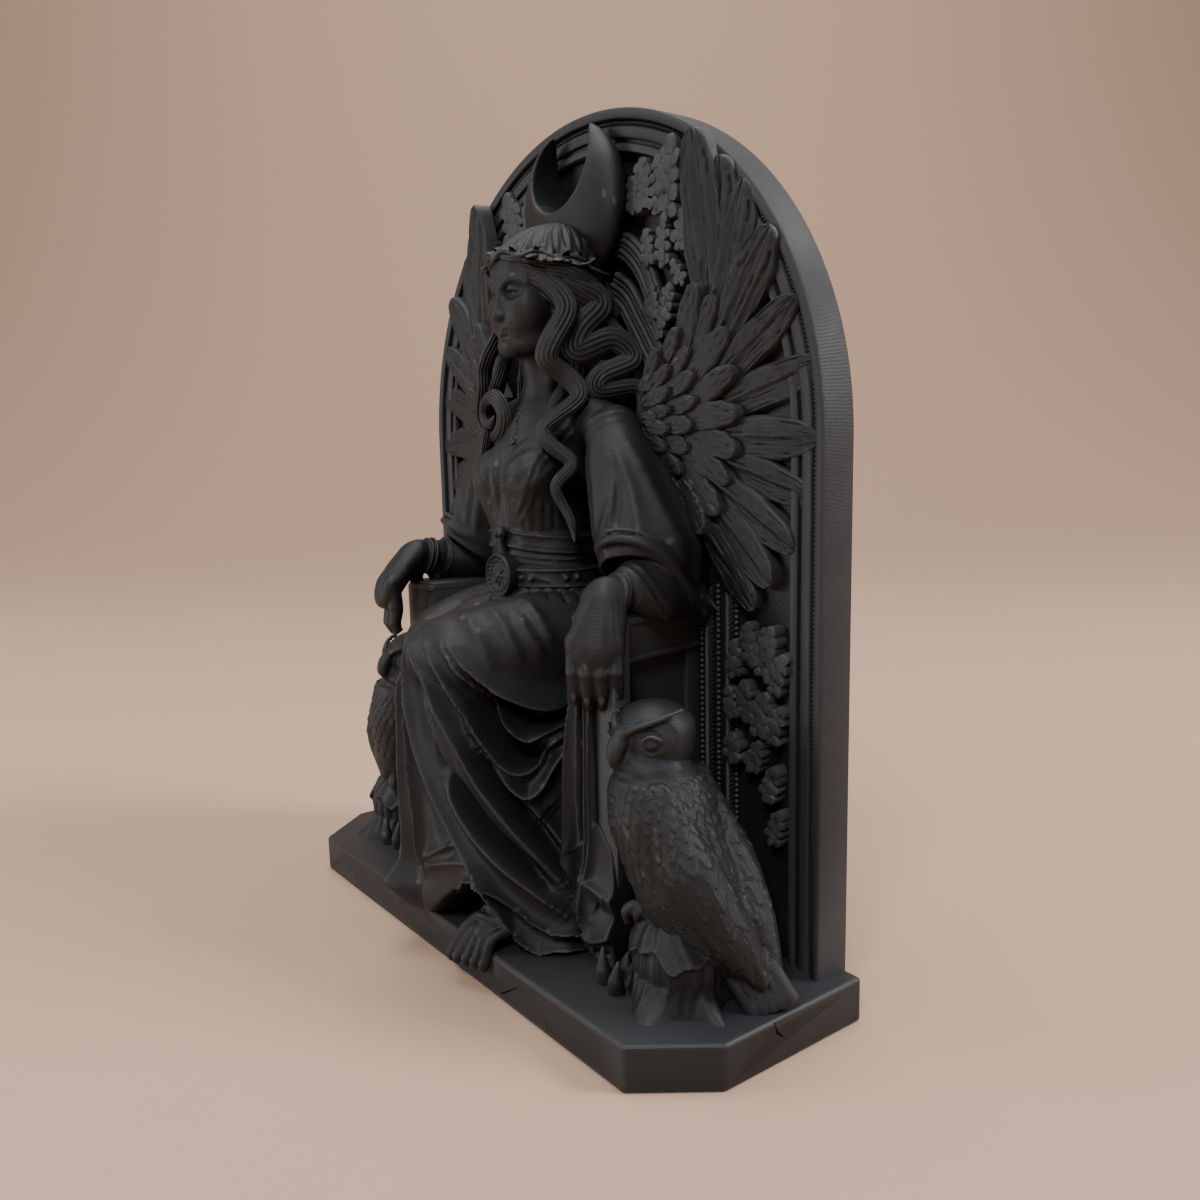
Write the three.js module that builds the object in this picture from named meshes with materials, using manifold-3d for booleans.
// Seated goddess statuette: a chamfered plinth, an arched back with two relief wings, a robed figure on
// a throne with a crescent headdress, and an owl on a root mound at each side. Millimetres, +Z up.
// Places are written as [x, y, z] with x from the middle, y from the flat back face (the front is
// negative) and z from the underside; the finished solid is then moved so that the middle of the
// underside is the origin.
import * as THREE from "three";
import { mergeVertices } from "three/addons/utils/BufferGeometryUtils.js";
import Module from "manifold-3d";

const wasm = await Module();
wasm.setup();

// Plinth.
const plinthWidth = 122;
const plinthDepth = 41.5;
const plinthHeight = 7.4;
const plinthChamferX = 9;
const plinthChamferY = 11.7;
const plinthEdge = 0.8;

// Arched back.
const archHalfWidth = 57.7;
const archCentreZ = 92.3;
const archSteps = 18;
const fieldFront = 4.6;
const bandSteps = [
  { outer: 0, inner: 1.9, front: 6.6 },
  { outer: 2.6, inner: 7.4, front: 6.1 },
];

// Throne.
const seatHalfWidth = 22;
const seatFront = 24;
const seatTop = 52;
const armRailBottom = 57;
const armRailTop = 65;
const armInnerBack = 19.5;
const armOuterBack = 28.5;
const armInnerFront = 23.5;
const armOuterFront = 33;
const armFront = 27.7;
const armPanelInset = 1.2;

// Flower sprays on the field of the back: place of the middle and size.
const sprays = [
  [15.5, 134, 4.6], [23, 129, 5], [21, 118, 4.4],
  [46.5, 57.5, 5], [44.5, 48, 4.8], [38.5, 41, 3.6],
];

// Wings: each row is a fan of feathers round one root, from the tallest to the lowest. Turns are in
// degrees above the level.
const wingRows = [
  {
    root: [16, 90], start: 0.56, width: 9.2, front: 8.6,
    reach: [53.1, 48.5, 45.1, 41.8, 42.2, 39.6, 39.1, 38, 36.9, 35.4],
    turn: [71.1, 57.7, 46.4, 33.1, 18.4, 4.1, -9.3, -23.6, -33.8, -44.6],
  },
  {
    root: [14, 94], start: 0.5, width: 6.4, front: 9.5,
    reach: [29, 29.1, 27.9, 26.5, 26.5, 26.3, 23.6, 24.4, 24],
    turn: [56, 46, 34, 21, 9, -5, -20, -30, -37],
  },
  {
    root: [13.5, 97], start: 0.5, width: 5, front: 10.3,
    reach: [20, 18.6, 18, 17, 16.7, 17, 17],
    turn: [35, 20, 6, -5, -17, -32, -40],
  },
];
const featherRidge = 0.5;

// Figure.
const kneeNear = [3.5, -38.5, 54.5];
const kneeFar = [-8.5, -34.5, 54];
const headCentre = [0, -17.2, 117.5];
const crescentCentre = [0, -8.4, 134.5];
const crescentRadius = 14;
const crescentDepth = 5;
const crescentOpening = 8.2;
const crescentRise = 6.5;

// The near hand droops over the front corner of its armrest; the far one reaches the owl's head.
const hands = {
  near: {
    wrist: [30, -21, 68.8], bend: [30.6, -26.4, 67.6], knuckle: [31, -28.6, 59.6], across: [0.75, 0.66, 0],
    length: 9,
  },
  far: {
    wrist: [30, -21, 68.8], bend: [30.6, -28, 68.4], knuckle: [31, -33.4, 64], across: [1, 0.1, 0],
    length: 8.6,
  },
};

// Owls.
const owlHead = [39, -25.2, 46.6];
const owlHeadRadii = [6.8, 6.2, 5.8];

// Helpers.
function solidOf(geometry) {
  const bare = geometry.index ? geometry.toNonIndexed() : geometry.clone();
  bare.deleteAttribute("normal");
  bare.deleteAttribute("uv");
  const merged = mergeVertices(bare, 1e-4);
  return new wasm.Manifold(new wasm.Mesh({
    numProp: 3,
    vertProperties: new Float32Array(merged.attributes.position.array),
    triVerts: new Uint32Array(merged.index.array),
  }));
}

function joined(solids) {
  let row = solids.flat(Infinity);
  while (row.length > 1) {
    const next = [];
    for (let i = 0; i < row.length; i += 2) {
      next.push(i + 1 < row.length ? row[i].add(row[i + 1]) : row[i]);
    }
    row = next;
  }
  return row[0];
}

function placed(geometry, [x, y, z], [turnX, turnY, turnZ] = [0, 0, 0]) {
  geometry.applyMatrix4(new THREE.Matrix4().makeRotationFromEuler(
    new THREE.Euler(turnX, turnY, turnZ, "XYZ")));
  geometry.translate(x, y, z);
  return solidOf(geometry);
}

function ball(centre, [rx, ry, rz], turn = [0, 0, 0], around = 12, down = 8) {
  const geometry = new THREE.SphereGeometry(1, around, down);
  geometry.rotateX(Math.PI / 2);
  geometry.scale(rx, ry, rz);
  return placed(geometry, centre, turn);
}

function box([x0, x1], [y0, y1], [z0, z1]) {
  const geometry = new THREE.BoxGeometry(x1 - x0, y1 - y0, z1 - z0);
  return placed(geometry, [(x0 + x1) / 2, (y0 + y1) / 2, (z0 + z1) / 2]);
}

// A closed limb through the given places; its section at each step is an ellipse whose two half widths
// are worked out from the radii list, turned to stand across the path.
function limb(path, radii, { around = 8, steps = 8, side = 1, rise = 1, up = [0, 0, 1] } = {}) {
  const curve = new THREE.CatmullRomCurve3(path.map((p) => new THREE.Vector3(...p)), false, "centripetal");
  const geometry = new THREE.CylinderGeometry(1, 1, 1, around, steps, false);
  const spots = geometry.attributes.position;
  const lift = new THREE.Vector3(...up);
  for (let i = 0; i < spots.count; i++) {
    const t = THREE.MathUtils.clamp(spots.getY(i) + 0.5, 0, 1);
    const middle = curve.getPoint(t);
    const along = curve.getTangent(t);
    const across = new THREE.Vector3().crossVectors(along, lift).normalize();
    const over = new THREE.Vector3().crossVectors(across, along).normalize();
    const scaled = t * (radii.length - 1);
    const low = Math.min(Math.floor(scaled), radii.length - 2);
    const radius = THREE.MathUtils.lerp(radii[low], radii[low + 1], scaled - low);
    middle.addScaledVector(across, spots.getX(i) * radius * side);
    middle.addScaledVector(over, -spots.getZ(i) * radius * rise);
    spots.setXYZ(i, middle.x, middle.y, middle.z);
  }
  return outward(solidOf(geometry), geometry);
}

// A swept shape can come out with its faces inwards when its path runs against its up direction.
function outward(solid, geometry) {
  if (solid.volume() > 0) return solid;
  const flipped = geometry.toNonIndexed();
  const spots = flipped.attributes.position;
  for (let i = 0; i < spots.count; i += 3) {
    const a = new THREE.Vector3().fromBufferAttribute(spots, i + 1);
    const b = new THREE.Vector3().fromBufferAttribute(spots, i + 2);
    spots.setXYZ(i + 1, b.x, b.y, b.z);
    spots.setXYZ(i + 2, a.x, a.y, a.z);
  }
  return solidOf(flipped);
}

// A shape drawn in the X-Z plane, standing out of the back towards the viewer from y = -from to -to.
function relief(shape, from, to, steps = 6) {
  const geometry = new THREE.ExtrudeGeometry(shape, {
    depth: to - from, bevelEnabled: false, curveSegments: steps,
  });
  geometry.rotateX(Math.PI / 2);
  geometry.translate(0, -from, 0);
  return solidOf(geometry);
}

function bothSides(make) {
  return [make(1), make(-1)];
}

// Plinth and arched back.
function plinth() {
  const half = plinthWidth / 2 - plinthEdge;
  const front = plinthDepth - plinthEdge;
  const shape = new THREE.Shape();
  shape.moveTo(-half, -plinthEdge);
  shape.lineTo(-half, plinthChamferY - front);
  shape.lineTo(-(half - plinthChamferX), -front);
  shape.lineTo(half - plinthChamferX, -front);
  shape.lineTo(half, plinthChamferY - front);
  shape.lineTo(half, -plinthEdge);
  shape.closePath();
  const geometry = new THREE.ExtrudeGeometry(shape, {
    depth: plinthHeight - 2 * plinthEdge,
    bevelEnabled: true,
    bevelThickness: plinthEdge,
    bevelSize: plinthEdge,
    bevelSegments: 1,
  });
  geometry.translate(0, 0, plinthEdge);
  return solidOf(geometry);
}

function archOutline(inset, foot) {
  const radius = archHalfWidth - inset;
  const path = [[radius, foot]];
  for (let i = 0; i <= archSteps; i++) {
    const turn = (Math.PI * i) / archSteps;
    path.push([radius * Math.cos(turn), archCentreZ + radius * Math.sin(turn)]);
  }
  path.push([-radius, foot]);
  return path;
}

function archBand({ outer, inner, front }) {
  const shape = new THREE.Shape();
  const outside = archOutline(outer, 5);
  const inside = archOutline(inner, 5).reverse();
  [...outside, ...inside].forEach(([x, z], i) => (i ? shape.lineTo(x, z) : shape.moveTo(x, z)));
  shape.closePath();
  return relief(shape, 0, front);
}

function archedBack() {
  const shape = new THREE.Shape();
  archOutline(0, 5).forEach(([x, z], i) => (i ? shape.lineTo(x, z) : shape.moveTo(x, z)));
  shape.closePath();
  return joined([relief(shape, 0, fieldFront), bandSteps.map(archBand)]);
}

// Wings.
// One feather: a six-sided leaf with blunt ends, widest past its middle and raised along it.
function feather(root, tip, width, front) {
  const length = Math.hypot(tip[0] - root[0], tip[1] - root[1]);
  const turn = Math.atan2(tip[1] - root[1], tip[0] - root[0]);
  const geometry = new THREE.CylinderGeometry(1, 1, 1, 6, 1, false, Math.PI / 6);
  const spots = geometry.attributes.position;
  for (let i = 0; i < spots.count; i++) {
    const reach = Math.min(1, Math.hypot(spots.getX(i), spots.getZ(i)));
    const ahead = spots.getZ(i) / Math.cos(Math.PI / 6);
    const along = (0.5 + 0.5 * ahead) * length;
    const across = (spots.getX(i) * (0.95 + 0.2 * ahead) * width) / 2;
    const ridge = reach < 0.5 ? featherRidge : 0;
    const face = spots.getY(i) > 0 ? front + ridge : fieldFront - 0.8;
    spots.setXYZ(i, root[0] + along * Math.cos(turn) - across * Math.sin(turn), -face,
      root[1] + along * Math.sin(turn) + across * Math.cos(turn));
  }
  return outward(solidOf(geometry), geometry);
}

function featherRow(side, { root, width, front, reach, turn, start }) {
  return reach.map((far, i) => {
    const near = far * start;
    const angle = THREE.MathUtils.degToRad(turn[i]);
    const at = (length) => [side * (root[0] + length * Math.cos(angle)), root[1] + length * Math.sin(angle)];
    return feather(at(near), at(far), width, front - 0.35 * (i % 2));
  });
}

function wing(side) {
  const bone = limb([[side * 10, -8, 97], [side * 15, -9.4, 101], [side * 20, -9.2, 100]], [4, 4.4, 1.6],
    { around: 5, steps: 2, up: [0, -1, 0] });
  return [wingRows.map((row) => featherRow(side, row)), bone];
}

// Foliage.
function rosette([x, z], size, petals, front) {
  const shape = new THREE.Shape();
  for (let i = 0; i < 2 * petals; i++) {
    const turn = (Math.PI * i) / petals + x;
    const far = i % 2 ? size * 0.62 : size;
    const spot = [x + far * Math.cos(turn), z + far * Math.sin(turn)];
    if (i) shape.lineTo(...spot);
    else shape.moveTo(...spot);
  }
  shape.closePath();
  return relief(shape, fieldFront - 0.8, front);
}

function foliage(side) {
  const flowers = sprays.map(([x, z, size], i) => rosette([side * x, z], size, 4, 7.2 + 0.5 * (i % 2)));
  const cords = [31, 36].map((x) => box([side * x - 1, side * x + 1], [-5.8, -4], [24, 66]));
  const veils = [0, 1].map((i) => {
    const middle = [side * (13 + 3.4 * i), -5.4, 115];
    const path = [[side * (9 + 4 * i), -4.8, 127 - 3 * i], middle, [side * (18 + 2 * i), -4.8, 104]];
    return limb(path, [0.8, 1.4, 0.9], { around: 4, steps: 2, up: [0, -1, 0] });
  });
  return [flowers, cords, veils];
}

// Throne.
function armWall(side, inset, z0, z1) {
  const shape = new THREE.Shape();
  const corners = [
    [armInnerBack, -2], [armOuterBack - inset, -2],
    [armOuterFront - inset, -(armFront - inset)], [armInnerFront, -(armFront - inset)],
  ];
  corners.forEach(([x, y], i) => (i ? shape.lineTo(x, y) : shape.moveTo(x, y)));
  shape.closePath();
  const geometry = new THREE.ExtrudeGeometry(shape, { depth: z1 - z0, bevelEnabled: false });
  geometry.translate(0, 0, z0);
  if (side < 0) geometry.applyMatrix4(new THREE.Matrix4().makeScale(-1, 1, 1));
  return outward(solidOf(geometry), geometry);
}

function throne() {
  const seat = box([-seatHalfWidth, seatHalfWidth], [-seatFront, -2], [5, seatTop]);
  const arms = bothSides((side) => [
    armWall(side, armPanelInset, 5, armRailBottom + 1),
    armWall(side, 0, armRailBottom, armRailTop),
  ]);
  const backing = box([-12, 12], [-15, -2], [45, 96]);
  return [seat, backing, arms];
}

// Robe.
// The skirt: a bell round both shins whose front swells into folds that open towards the hem.
function skirt() {
  const around = 24;
  const steps = 4;
  const geometry = new THREE.CylinderGeometry(1, 1, 1, around, steps, false);
  const spots = geometry.attributes.position;
  for (let i = 0; i < spots.count; i++) {
    const t = THREE.MathUtils.clamp(spots.getY(i) + 0.5, 0, 1);
    const a = Math.atan2(spots.getX(i), -spots.getZ(i));
    const reach = Math.hypot(spots.getX(i), spots.getZ(i));
    const front = Math.max(0, Math.cos(a));
    const fold = 1 + front * 0.075 * (1 - t) * Math.cos(8 * a + 2.2 * t);
    const halfX = THREE.MathUtils.lerp(26, 13.5, Math.pow(t, 0.8)) * fold;
    const deep = THREE.MathUtils.lerp(27, 30, t) * fold;
    const middle = THREE.MathUtils.lerp(1.2, -2.5, t);
    const x = middle + Math.sin(a) * halfX * reach;
    const y = -15 - Math.cos(a) * deep * reach * (Math.cos(a) > 0 ? 1 : 0.25);
    const z = THREE.MathUtils.lerp(6, 58, t) - 6 * front * reach * t * t;
    spots.setXYZ(i, x, y, z);
  }
  return outward(solidOf(geometry), geometry);
}

function robe() {
  const legs = [
    [[11, -13, 57], [8, -26, 56.5], kneeNear, [2.6, -43.6, 53]],
    [[-11, -13, 57], [-10, -24, 56.5], kneeFar, [-9, -39.6, 53]],
  ].map((path) => limb(path, [9, 8.5, 7.3, 4], { around: 8, steps: 3 }));
  const ridges = [
    [[2, -43.4, 55], [-4, -44, 40], [-8, -43.4, 9]],
    [[4.5, -43.4, 53], [2.5, -44.2, 38], [1, -42.4, 9]],
    [[6.5, -42, 54], [11, -42, 40], [16, -38.3, 9]],
    [[8, -39, 57.5], [14, -36, 46], [19.5, -31.5, 40], [24, -27.5, 41]],
    [[10, -36.5, 58], [15.5, -31.6, 49.5], [20, -28, 46], [24, -26, 46.5]],
    [[9, -40, 50], [15, -39, 36], [24, -34.5, 9]],
    [[-9, -40.4, 54], [-15, -40.8, 38], [-21, -38.3, 9]],
  ].map((path) => limb(path, [1.1, 1.8, 2.3], { around: 4, steps: 2, up: [0, 1, 0] }));
  const hem = limb(
    [[-24, -30, 7.6], [-20, -38, 7.8], [-10, -43, 6.8], [-1, -42, 8.4], [6, -35, 12], [14, -36.5, 8.4],
      [24, -36, 7.8], [29, -28, 7.8]],
    [1.4, 1.9, 2.1, 1.7, 1.6, 1.9, 1.9, 1.4], { around: 4, steps: 7 });
  const train = limb([[24, -26.6, 50], [24.4, -28.2, 28], [27, -28.8, 7]], [2.4, 3, 3.8],
    { around: 6, steps: 2, up: [0, 1, 0] });
  return [skirt(), legs, ridges, hem, train];
}

function foot() {
  const sole = limb([[11, -32, 13], [10, -37, 11], [9, -41.4, 8.2]], [2.6, 2.9, 2.5],
    { around: 6, steps: 2, side: 1.35 });
  const toes = [0, 1, 2].map((i) => limb(
    [[6.8 + 2.3 * i, -40.4, 8.2], [6.4 + 2.5 * i, -44 + 0.4 * i, 4.9 + 0.5 * i]],
    [1.3, 1], { around: 4, steps: 1 }));
  return [sole, toes];
}

// Upper body.
function torso() {
  const trunk = limb(
    [[0, -14, 56], [0, -16.5, 66], [0, -17.6, 75], [0, -17.2, 84], [0, -15.6, 91], [0, -14.6, 97.5]],
    [10.5, 9.4, 8.2, 9.2, 8.2, 4.4], { around: 8, steps: 4, side: 1.28, up: [0, -1, 0] });
  const bust = bothSides((side) => ball([side * 5.4, -23.2, 87.2], [5.2, 5.2, 5.4], [0, 0, 0], 6, 5));
  const shoulders = limb([[-18, -13.6, 93], [-9, -14.6, 96], [9, -14.6, 96], [18, -13.6, 93]],
    [4.2, 5, 5, 4.2], { around: 6, steps: 3 });
  const neck = limb([[0, -14.6, 95], [0, -16.2, 103], [0, -17, 111]], [5.4, 4, 4.2],
    { around: 7, steps: 2, up: [0, -1, 0] });
  const belts = [[77.2, 9.3, 9.3, 2.2], [67.6, 9.8, 11.6, 5]].map(([z, top, low, half]) => {
    const ring = new THREE.CylinderGeometry(top, low, 2 * half, 9, 1);
    ring.rotateX(Math.PI / 2);
    ring.scale(1.26, 1, 1);
    return placed(ring, [0, -17.4, z]);
  });
  const medal = new THREE.CylinderGeometry(4.6, 4.6, 1.8, 10, 1);
  const drop = limb([[0, -26, 80], [0, -27.2, 74]], [1.8, 1.4], { around: 4, steps: 1, up: [0, -1, 0] });
  return [trunk, bust, shoulders, neck, belts, placed(medal, [0, -27.2, 70]), drop];
}

function handOf(side) {
  const { wrist, bend, knuckle, across, length } = side < 0 ? hands.far : hands.near;
  const s = ([x, y, z]) => [side * x, y, z];
  const palm = limb([wrist, bend, knuckle].map(s), [3, 2.8, 2.5],
    { around: 6, steps: 3, rise: 1.6, up: s(across) });
  const fingers = [-1.5, -0.5, 0.5, 1.5].map((place) => {
    const start = [0, 1, 2].map((axis) => knuckle[axis] + 2.1 * place * across[axis]);
    const drop = length - 0.9 * Math.abs(place - 0.4);
    const tip = [start[0], start[1] - 0.2, start[2] - drop];
    start[2] += 1.6;
    return limb([s(start), s(tip)], [1.35, 0.95], { around: 4, steps: 1, up: [0, -1, 0] });
  });
  const thumbEnd = [knuckle[0] - 4.6, knuckle[1] + 3, knuckle[2] - 4];
  const thumb = limb([s(bend), s(thumbEnd)], [1.7, 1.1], { around: 4, steps: 1, up: [0, -1, 0] });
  return [palm, fingers, thumb];
}

function armOf(side) {
  const s = ([x, y, z]) => [side * x, y, z];
  const sleeve = limb([[17, -14, 95.5], [19.5, -14, 90], [23, -14, 81], [26.5, -13.6, 71.5]].map(s),
    [4, 5.6, 6.4, 8], { around: 7, steps: 3, up: [0, -1, 0] });
  const trail = limb([[24, -10, 84], [28, -8, 73], [31.5, -6.6, 63.5]].map(s), [3, 4, 1.2],
    { around: 5, steps: 2, up: [0, -1, 0] });
  const puff = limb([[27, -11, 69.5], [28.8, -14, 67.6], [29.8, -21, 68.6]].map(s), [6.8, 6, 3.8],
    { around: 6, steps: 3 });
  return [sleeve, trail, puff, handOf(side)];
}

// Head.
function head() {
  const skull = ball(headCentre, [7.2, 8.4, 9.8], [0, 0, 0], 8, 6);
  const jaw = ball([0, -20.4, 112], [5, 4.8, 5], [0.2, 0, 0], 7, 5);
  const nose = limb([[0, -24.4, 119], [0, -26.8, 114.8]], [0.7, 1.3], { around: 4, steps: 1 });
  const chin = ball([0, -23.7, 109.6], [2.2, 1.8, 2.4], [0, 0, 0], 6, 4);
  const hair = ball([0, -14.6, 119.6], [9.4, 9.4, 11.2], [0, 0, 0], 8, 5);
  const nape = ball([0, -9.5, 106], [12, 5.6, 16], [0, 0, 0], 6, 4);
  const wreathRing = new THREE.TorusGeometry(9.4, 2, 4, 10);
  wreathRing.scale(0.95, 1.02, 1);
  const wreath = placed(wreathRing, [0, -15.6, 123.2], [-0.16, 0, 0]);
  return [skull, jaw, nose, chin, hair, nape, wreath];
}

// Wavy locks: each swings from side to side as it falls, and grows thin at its end.
function locks() {
  const falls = [
    { start: [8, -19, 124], end: [11.4, -22.4, 76], swing: 1.9, waves: 3.2, radius: 2.6, steps: 10 },
    { start: [9.4, -13, 122], end: [15, -15, 90], swing: 1.9, waves: 2.4, radius: 3.1, steps: 8 },
  ];
  return falls.map(({ start, end, swing, waves, radius, steps }) => bothSides((side) => {
    const reach = side < 0 ? 0.62 : 1;
    const path = [];
    for (let i = 0; i <= steps; i++) {
      const t = i / steps;
      const sway = Math.sin(2 * Math.PI * waves * t + (side < 0 ? 1 : 0)) * swing * Math.min(1, 4 * t);
      path.push([
        side * (THREE.MathUtils.lerp(start[0], end[0], t) + sway),
        THREE.MathUtils.lerp(start[1], end[1], t) - Math.sin(Math.PI * t) * 1.2,
        start[2] - (start[2] - end[2]) * t * reach,
      ]);
    }
    return limb(path, [radius, radius, radius * 0.9, radius * 0.75, radius * 0.4],
      { around: 4, steps, up: [0, -1, 0], side: 1.25 });
  }));
}

function crescent() {
  const [x, y, z] = crescentCentre;
  const disc = ball([x, y, z], [crescentRadius, crescentDepth, crescentRadius], [0, 0, 0], 14, 6);
  const opening = new THREE.CylinderGeometry(crescentOpening, crescentOpening, 40, 12, 1);
  return disc.subtract(placed(opening, [x, y, z + crescentRise]));
}

// Owls.
function owl(side) {
  const s = ([x, y, z]) => [side * x, y, z];
  const [x, y, z] = owlHead;
  const spine = [[39.8, -25.6, 44], [42, -24.9, 35], [45.6, -23.4, 25], [50.2, -21.8, 17], [54, -20.4, 12]];
  const body = limb(spine.map(s), [5.6, 8.6, 8.2, 5.8, 2.6], { around: 7, steps: 3, up: [0, -1, 0] });
  const wingSide = limb([[46, -27.8, 39], [52.8, -25, 25], [59, -19.6, 11.5]].map(s), [2.6, 4.8, 1.4],
    { around: 4, steps: 2, up: [0, -1, 0] });
  const wingBack = limb([[43, -18, 38], [49.4, -16, 24], [56.5, -16, 12]].map(s), [2.6, 4.4, 1.4],
    { around: 4, steps: 2, up: [0, -1, 0] });
  const tail = limb([[53, -20.6, 15], [58.6, -18.2, 7]].map(s), [3, 2.4], { around: 5, steps: 1 });
  const skull = ball(s(owlHead), owlHeadRadii, [0, 0, 0], 7, 5);
  const mask = ball(s([x - 0.4, y - 2.8, z - 0.8]), [5.6, 3.2, 4], [0, 0, 0], 6, 4);
  const brows = bothSides((half) => limb(
    [s([x - 0.4, y - 5.8, z + 0.6]), s([x - 0.4 + 6.4 * half, y - 1.4, z + 5.4])], [0.9, 0.6],
    { around: 4, steps: 1 }));
  const beak = limb([s([x - 0.4, y - 5.2, z]), s([x - 0.4, y - 6.6, z - 2.8])], [1.1, 0.5],
    { around: 4, steps: 1 });
  return [body, wingSide, wingBack, tail, skull, mask, brows, beak];
}

function mound(side) {
  const s = ([x, y, z]) => [side * x, y, z];
  const stone = ball(s([45.6, -25.5, 13.6]), [8, 6.4, 7.8], [0, 0, 0], 7, 4);
  const roots = [0, 1, 2].map((i) => {
    const turn = THREE.MathUtils.degToRad(-150 + 70 * i);
    const out = [46.5 + 9.4 * Math.cos(turn), -25 + 8 * Math.sin(turn), 6.8];
    return limb([s([46.5 + 3 * Math.cos(turn), -25 + 3 * Math.sin(turn), 11.5]), s(out)], [3.2, 2.1],
      { around: 4, steps: 1 });
  });
  const shoots = [0, 1].map((i) =>
    limb([s([35 + 2.6 * i, -28 + i, 7]), s([34.8 + 3 * i, -29 + i, 13])], [1.5, 0.5],
      { around: 4, steps: 1, up: [0, 1, 0] }));
  return [stone, roots, shoots];
}

// Assembly.
const statuette = joined([
  plinth(), archedBack(), bothSides(wing), bothSides(foliage), throne(), robe(), foot(), torso(),
  bothSides(armOf), head(), locks(), crescent(), bothSides(owl), bothSides(mound),
]);

// The solid is filled right through: the small pockets left between overlapping feathers are dropped.
const filled = statuette.decompose().sort((a, b) => b.volume() - a.volume())[0];

function meshOf(solid, name, look) {
  const made = solid.getMesh();
  const geometry = new THREE.BufferGeometry();
  geometry.setAttribute("position", new THREE.BufferAttribute(new Float32Array(made.vertProperties), 3));
  geometry.setIndex(new THREE.BufferAttribute(new Uint32Array(made.triVerts), 1));
  geometry.computeVertexNormals();
  const mesh = new THREE.Mesh(geometry, look);
  mesh.name = name;
  mesh.position.y = plinthDepth / 2;
  return mesh;
}

const blackPlastic = new THREE.MeshStandardMaterial({ color: 0x1b1c1e, roughness: 0.62, metalness: 0 });
const group = new THREE.Group();
group.add(meshOf(filled, "winged_goddess_statuette", blackPlastic));

export default group;
